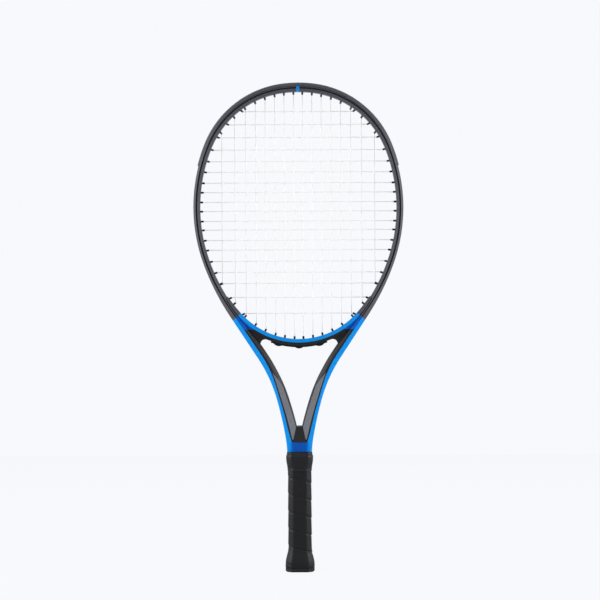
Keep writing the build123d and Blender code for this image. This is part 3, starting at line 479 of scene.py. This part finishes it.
# The bridge continues the inner outline of the head below the sides
_side = (np.array([0.0, -TOP[0]]) + normal(TOP[1]) * (TOP[0] - SHOULDER[0])
         + normal(SHOULDER[1]) * (SHOULDER[0] - SIDE[0]))
_bridge_radius = SIDE[0] + _side[0] / normal(SIDE[1])[0]
_bridge_z = (_side + normal(SIDE[1]) * (SIDE[0] - _bridge_radius))[1]
HEAD_LIFT = (outer_chain()[0][1][1] + TOP[0])
BRIDGE_RADIUS = _bridge_radius * MM
BRIDGE_CENTRE_Z = (_bridge_z + HEAD_LIFT) * MM

# ---------------------------------------------------------------------------
# Frame shell
# ---------------------------------------------------------------------------

CUTS = [0.0, 0.15 * MM, 0.35 * MM, 1.0 * MM, 1.1 * MM, 1.1 * MM, 1.3 * MM]
GROOVE_END_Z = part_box("grommet_strip_right")[0].z
FLAT_GROOVE = 0.02 * MM
BASE_HEIGHTS = [170.0, 257.0]


def section_at(point):
    """Half of the beam's section: (depth from the outer line, Y) and a facet count."""
    z = point[1] / MM
    heights = [row[0] for row in SECTION_TABLE]
    width, crest_in, crest_out = (
        float(np.interp(z, heights, [row[k] for row in SECTION_TABLE])) * MM for k in (1, 2, 3))
    share = float(np.interp(z, BASE_HEIGHTS, [1.0, 0.0]))
    inner = INNER_HALF + (BASE_INNER_HALF - INNER_HALF) * share
    groove = GROOVE_DEPTH if z > GROOVE_END_Z / MM else FLAT_GROOVE
    corners = [
        (groove, 0.0), (groove, GROOVE_HALF), (0.0, GROOVE_HALF + FLAT_GROOVE), (0.0, OUTER_HALF),
        (crest_in, HALF_DEPTH), (crest_out, HALF_DEPTH), (width, inner), (width, 0.0),
    ]
    return rounded([np.array(c) for c in corners], CUTS)


def paint_at(z):
    heights = [row[0] for row in PAINT_TABLE]
    return [float(np.interp(z / MM, heights, [row[k] for row in PAINT_TABLE])) * MM for k in (1, 2, 3)]


def frame_shell():
    right = outer_stations()
    path = [(p, n, run, 1) for p, n, run in reversed(right)]
    path += [(p, n, run, -1) for p, n, run in right[1:]]
    verts, surface, paint, reflection_band = [], [], [], []
    for point, out, run, side in path:
        half = section_at(point)
        loop = half + [(q * np.array([1, -1]), v) for q, v in reversed(half[1:-1])]
        for (depth, y), facet in loop:
            x = max(0.0, point[0] - out[0] * depth)
            z = point[1] - out[1] * depth
            blue_end, grey_start, grey_end = paint_at(z)
            verts.append((x * side, y, z))
            surface.append((run * side, facet))
            paint.append((depth, blue_end))
            reflection_band.append((grey_start, grey_end))
    layers = [("surface", surface), ("paint", paint), ("reflection_band", reflection_band)]
    return mesh_object("frame_shell", verts, tube_faces(len(path), len(loop)), layers)


shell = frame_shell()
shell.data.materials.append(frame_paint())
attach(shell, "root")
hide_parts("frame_hairpin")

# ---------------------------------------------------------------------------
# Wound grip
# ---------------------------------------------------------------------------

WRAP_PITCH = 22.4 * MM
WRAP_START = 9.0 * MM
SEAM_DEPTH = 0.9 * MM
SEAM_HALF = 1.0 * MM
OVERLAP_RISE = 0.5 * MM
SEAM_PLAIN = 3.0 * MM
SEAM_FADE = 8.0 * MM
END_ROUND = 0.3 * MM
END_REACH = 1.2 * MM
GRIP_ROW = 0.55 * MM
GRIP_SIDE_STEPS = 9

grip_low, grip_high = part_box("grip_wrap")
FLARE_TOP = 31.0 * MM
FLARE_LOW = 10.0 * MM
GRIP_HALF = 15.5 * MM
GRIP_STEP = 1.5 * MM
GRIP_CHAMFER = 7.0 * MM


def octagon_loop(half_x, half_y, chamfer):
    """Points round a rounded octagon, from the front left going right."""
    corners = [
        (-half_x + chamfer, -half_y), (half_x - chamfer, -half_y), (half_x, -half_y + chamfer),
        (half_x, half_y - chamfer), (half_x - chamfer, half_y), (-half_x + chamfer, half_y),
        (-half_x, half_y - chamfer), (-half_x, -half_y + chamfer),
    ]
    points = []
    for k in range(8):
        a, b = np.array(corners[k]), np.array(corners[(k + 1) % 8])
        for j in range(GRIP_SIDE_STEPS):
            points.append(a + (b - a) * (j / GRIP_SIDE_STEPS))
    points = np.array(points)
    for _ in range(3):
        points = (np.roll(points, 1, 0) + 2 * points + np.roll(points, -1, 0)) / 4
    return points


def grip_sleeve():
    bottom, top = grip_low.z, grip_high.z
    rows = int((top - bottom) / GRIP_ROW)
    verts, uvs = [], []
    for r in range(rows + 1):
        z = bottom + (top - bottom) * r / rows
        flare = float(np.interp(z, [FLARE_LOW, FLARE_TOP], [1.0, 0.0]))
        flare = flare * flare * (3 - 2 * flare)
        grow = (grip_high.x - GRIP_HALF) * flare
        loop = octagon_loop(GRIP_HALF + grow, GRIP_HALF - GRIP_STEP + grow, GRIP_CHAMFER + grow * 0.4)
        steps = np.linalg.norm(np.roll(loop, -1, 0) - loop, axis=1)
        total = steps.sum()
        along = np.concatenate([[0.0], np.cumsum(steps)[:-1]])
        for point, distance in zip(loop, along):
            share = distance / total
            phase = ((z - WRAP_START) / WRAP_PITCH + share) % 1.0
            gap = min(phase, 1.0 - phase) * WRAP_PITCH
            inward = SEAM_DEPTH * math.exp(-(gap / SEAM_HALF) ** 2)
            inward += OVERLAP_RISE * phase
            inward *= float(np.clip((z - bottom - SEAM_PLAIN) / SEAM_FADE, 0.0, 1.0))
            edge = min(z - bottom, top - z)
            inward += END_ROUND * math.exp(-(edge / END_REACH) ** 2)
            size = np.linalg.norm(point)
            x, y = point * (1 - inward / size)
            verts.append((x, y, z))
            uvs.append((distance, phase * WRAP_PITCH))
    return mesh_object("grip_sleeve", verts, tube_faces(rows + 1, len(loop)), [("surface", uvs)])


grip = grip_sleeve()
grip.data.materials.append(grip_material())
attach(grip, "root")
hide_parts("grip_wrap")

# ---------------------------------------------------------------------------
# Rubber collar: rounded lip, widest just below it, drawn in over the grip
# ---------------------------------------------------------------------------

# Height, half width across X and across Y, chamfer, mm
COLLAR_LEVELS = [
    (133.5, 15.5, 14.3, 7.2), (134.0, 15.9, 14.6, 7.2), (137.5, 16.3, 15.0, 7.2),
    (141.5, 17.1, 15.6, 7.2), (145.5, 17.5, 15.9, 7.2), (149.0, 17.6, 16.0, 7.2),
    (150.6, 17.4, 15.8, 7.1), (151.6, 16.9, 15.2, 6.9), (152.0, 16.3, 14.6, 6.7),
    (152.3, 16.4, 14.6, 6.5), (153.2, 16.7, 14.4, 6.3), (154.3, 16.6, 13.8, 6.0),
    (154.9, 16.3, 13.1, 5.7), (155.0, 16.0, 12.6, 5.5),
]


def octagon_stack(name, levels):
    verts = []
    for z, half_x, half_y, chamfer in levels:
        loop = octagon_loop(half_x * MM, half_y * MM, chamfer * MM)
        verts += [(x, y, z * MM) for x, y in loop]
    return mesh_object(name, verts, tube_faces(len(levels), len(loop)))


rubber = moulded("collar_rubber", (0.003, 0.003, 0.004), (0.008, 0.008, 0.010), 0.36, 700.0, 0.2, 0.20)
collar = octagon_stack("collar_sleeve", COLLAR_LEVELS)
collar.data.materials.append(rubber)
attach(collar, "root")
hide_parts("rubber_collar")

# ---------------------------------------------------------------------------
# Materials of the carried-over CAD nodes
# ---------------------------------------------------------------------------

grommet = moulded("grommet_plastic", (0.003, 0.003, 0.004), (0.009, 0.009, 0.010), 0.42, 900.0)
FINISHES = {
    "throat_bridge": bridge_paint(),
    "throat_plug": moulded("plug_plastic", (0.010, 0.011, 0.013), (0.020, 0.022, 0.026), 0.42, 1100.0),
    "bumper_guard": moulded("bumper_plastic", (0.052, 0.054, 0.061), (0.082, 0.085, 0.096), 0.46, 800.0),
    "grommet_strip_left": grommet,
    "grommet_strip_right": grommet,
    "throat_grommets": grommet,
    "main_string": gut("main_gut"),
    "cross_string": gut("cross_gut"),
    "string_knots": gut("knot_gut"),
    "handle_pallet": moulded("pallet_foam", (0.50, 0.47, 0.38), (0.62, 0.59, 0.50), 0.70, 500.0, 0.4),
    "butt_cap": moulded("cap_plastic", (0.012, 0.012, 0.014), (0.018, 0.018, 0.020), 0.40, 1000.0),
    "butt_badge": moulded(
        "badge_plastic", (0.020, 0.020, 0.022), (0.034, 0.034, 0.037), 0.24, 1200.0, 0.05),
    "butt_staples": steel("staple_steel"),
    "finishing_tape": moulded("tape_vinyl", (0.010, 0.010, 0.011), (0.020, 0.020, 0.022), 0.34, 1300.0),
    "rubber_collar": rubber,
    "frame_hairpin": shell.data.materials[0],
    "grip_wrap": grip.data.materials[0],
}

for name, finish in FINISHES.items():
    node = NODES[name]
    for place in node.material_slots:
        place.material = finish

# ---------------------------------------------------------------------------
# Floor, light and camera
# ---------------------------------------------------------------------------

BACKGROUND = (0.935, 0.945, 0.98)
PAPER = (0.86, 0.87, 0.89, 1.0)
FLOOR_HALF = 2.4
FLOOR_CELLS = 12
FLOOR_SHARE = 0.96
WORLD_TINT = (0.9, 0.93, 1.0, 1.0)
WORLD_LIGHT = 0.6


def flat_floor():
    """Paper sheet that glows for the camera and keeps a trace of the shadow."""
    count = FLOOR_CELLS
    verts = [(FLOOR_HALF * (i / count - 0.5) * 2, FLOOR_HALF * (j / count - 0.5) * 2, 0.0)
             for j in range(count + 1) for i in range(count + 1)]
    faces = [(j * (count + 1) + i, j * (count + 1) + i + 1,
              (j + 1) * (count + 1) + i + 1, (j + 1) * (count + 1) + i)
             for j in range(count) for i in range(count)]
    mesh = bpy.data.meshes.new("floor")
    mesh.from_pydata(verts, [], faces)
    obj = bpy.data.objects.new("floor", mesh)
    bpy.context.scene.collection.objects.link(obj)
    mat = bpy.data.materials.new("floor_paper")
    mat.use_nodes = True
    tree = mat.node_tree
    bsdf = tree.nodes["Principled BSDF"]
    bsdf.inputs["Base Color"].default_value = PAPER
    bsdf.inputs["Roughness"].default_value = 0.9
    glow = tree.nodes.new("ShaderNodeEmission")
    glow.inputs["Color"].default_value = (*BACKGROUND, 1.0)
    path = tree.nodes.new("ShaderNodeLightPath")
    share = tree.nodes.new("ShaderNodeMath")
    share.operation = "MULTIPLY"
    share.inputs[1].default_value = FLOOR_SHARE
    blend = tree.nodes.new("ShaderNodeMixShader")
    tree.links.new(path.outputs["Is Camera Ray"], share.inputs[0])
    tree.links.new(share.outputs[0], blend.inputs[0])
    tree.links.new(bsdf.outputs[0], blend.inputs[1])
    tree.links.new(glow.outputs[0], blend.inputs[2])
    tree.links.new(blend.outputs[0], tree.nodes["Material Output"].inputs["Surface"])
    mesh.materials.append(mat)


def studio_world():
    world = bpy.data.worlds.new("studio")
    bpy.context.scene.world = world
    world.use_nodes = True
    tree = world.node_tree
    tree.nodes.clear()
    out = tree.nodes.new("ShaderNodeOutputWorld")
    light = tree.nodes.new("ShaderNodeBackground")
    light.inputs["Color"].default_value = WORLD_TINT
    light.inputs["Strength"].default_value = WORLD_LIGHT
    seen = tree.nodes.new("ShaderNodeBackground")
    seen.inputs["Color"].default_value = (*BACKGROUND, 1.0)
    seen.inputs["Strength"].default_value = 1.0
    path = tree.nodes.new("ShaderNodeLightPath")
    first = tree.nodes.new("ShaderNodeMath")
    first.operation = "MAXIMUM"
    second = tree.nodes.new("ShaderNodeMath")
    second.operation = "MAXIMUM"
    tree.links.new(path.outputs["Is Camera Ray"], first.inputs[0])
    tree.links.new(path.outputs["Is Glossy Ray"], first.inputs[1])
    tree.links.new(first.outputs[0], second.inputs[0])
    tree.links.new(path.outputs["Is Transmission Ray"], second.inputs[1])
    blend = tree.nodes.new("ShaderNodeMixShader")
    tree.links.new(second.outputs[0], blend.inputs[0])
    tree.links.new(light.outputs[0], blend.inputs[1])
    tree.links.new(seen.outputs[0], blend.inputs[2])
    tree.links.new(blend.outputs[0], out.inputs["Surface"])


def softbox(name, place, aim, size, power):
    lamp = bpy.data.lights.new(name, "AREA")
    lamp.shape = "RECTANGLE"
    lamp.size, lamp.size_y = size
    lamp.energy = power
    obj = bpy.data.objects.new(name, lamp)
    obj.location = place
    obj.rotation_euler = (Vector(aim) - Vector(place)).to_track_quat("-Z", "Y").to_euler()
    bpy.context.scene.collection.objects.link(obj)


flat_floor()
studio_world()
MIDDLE = (0.0, 0.0, 0.35)
SIDE_SIZE = (0.5, 1.3)
WIDE_SIZE = (1.6, 0.9)
SIDE_POWER = 22.0
FRONT_POWER = 7.0
BACK_POWER = 8.0
softbox("softbox_left", (-1.7, -0.2, 0.85), MIDDLE, SIDE_SIZE, SIDE_POWER)
softbox("softbox_right", (1.7, -0.2, 0.85), MIDDLE, SIDE_SIZE, SIDE_POWER)
softbox("softbox_front", (0.0, -2.2, 1.9), MIDDLE, WIDE_SIZE, FRONT_POWER)
softbox("softbox_back", (0.0, 1.8, 1.4), MIDDLE, WIDE_SIZE, BACK_POWER)

VIEW_WIDTH = 780.0 * MM
VIEW_DISTANCE = 3.2
VIEW_LEAN = 0.286
VIEW_X = 1.5 * MM
VIEW_Z = 352.4 * MM
SENSOR = 36.0
camera = bpy.data.cameras.new("photo_view")
camera.sensor_width = SENSOR
camera.lens = camera.sensor_width * VIEW_DISTANCE / VIEW_WIDTH
eye = bpy.data.objects.new("photo_view", camera)
eye.location = (VIEW_X, -VIEW_DISTANCE, VIEW_Z)
eye.rotation_euler = (math.pi / 2, math.radians(VIEW_LEAN), 0.0)
bpy.context.scene.collection.objects.link(eye)
bpy.context.scene.camera = eye
bpy.context.scene.view_settings.view_transform = "Standard"
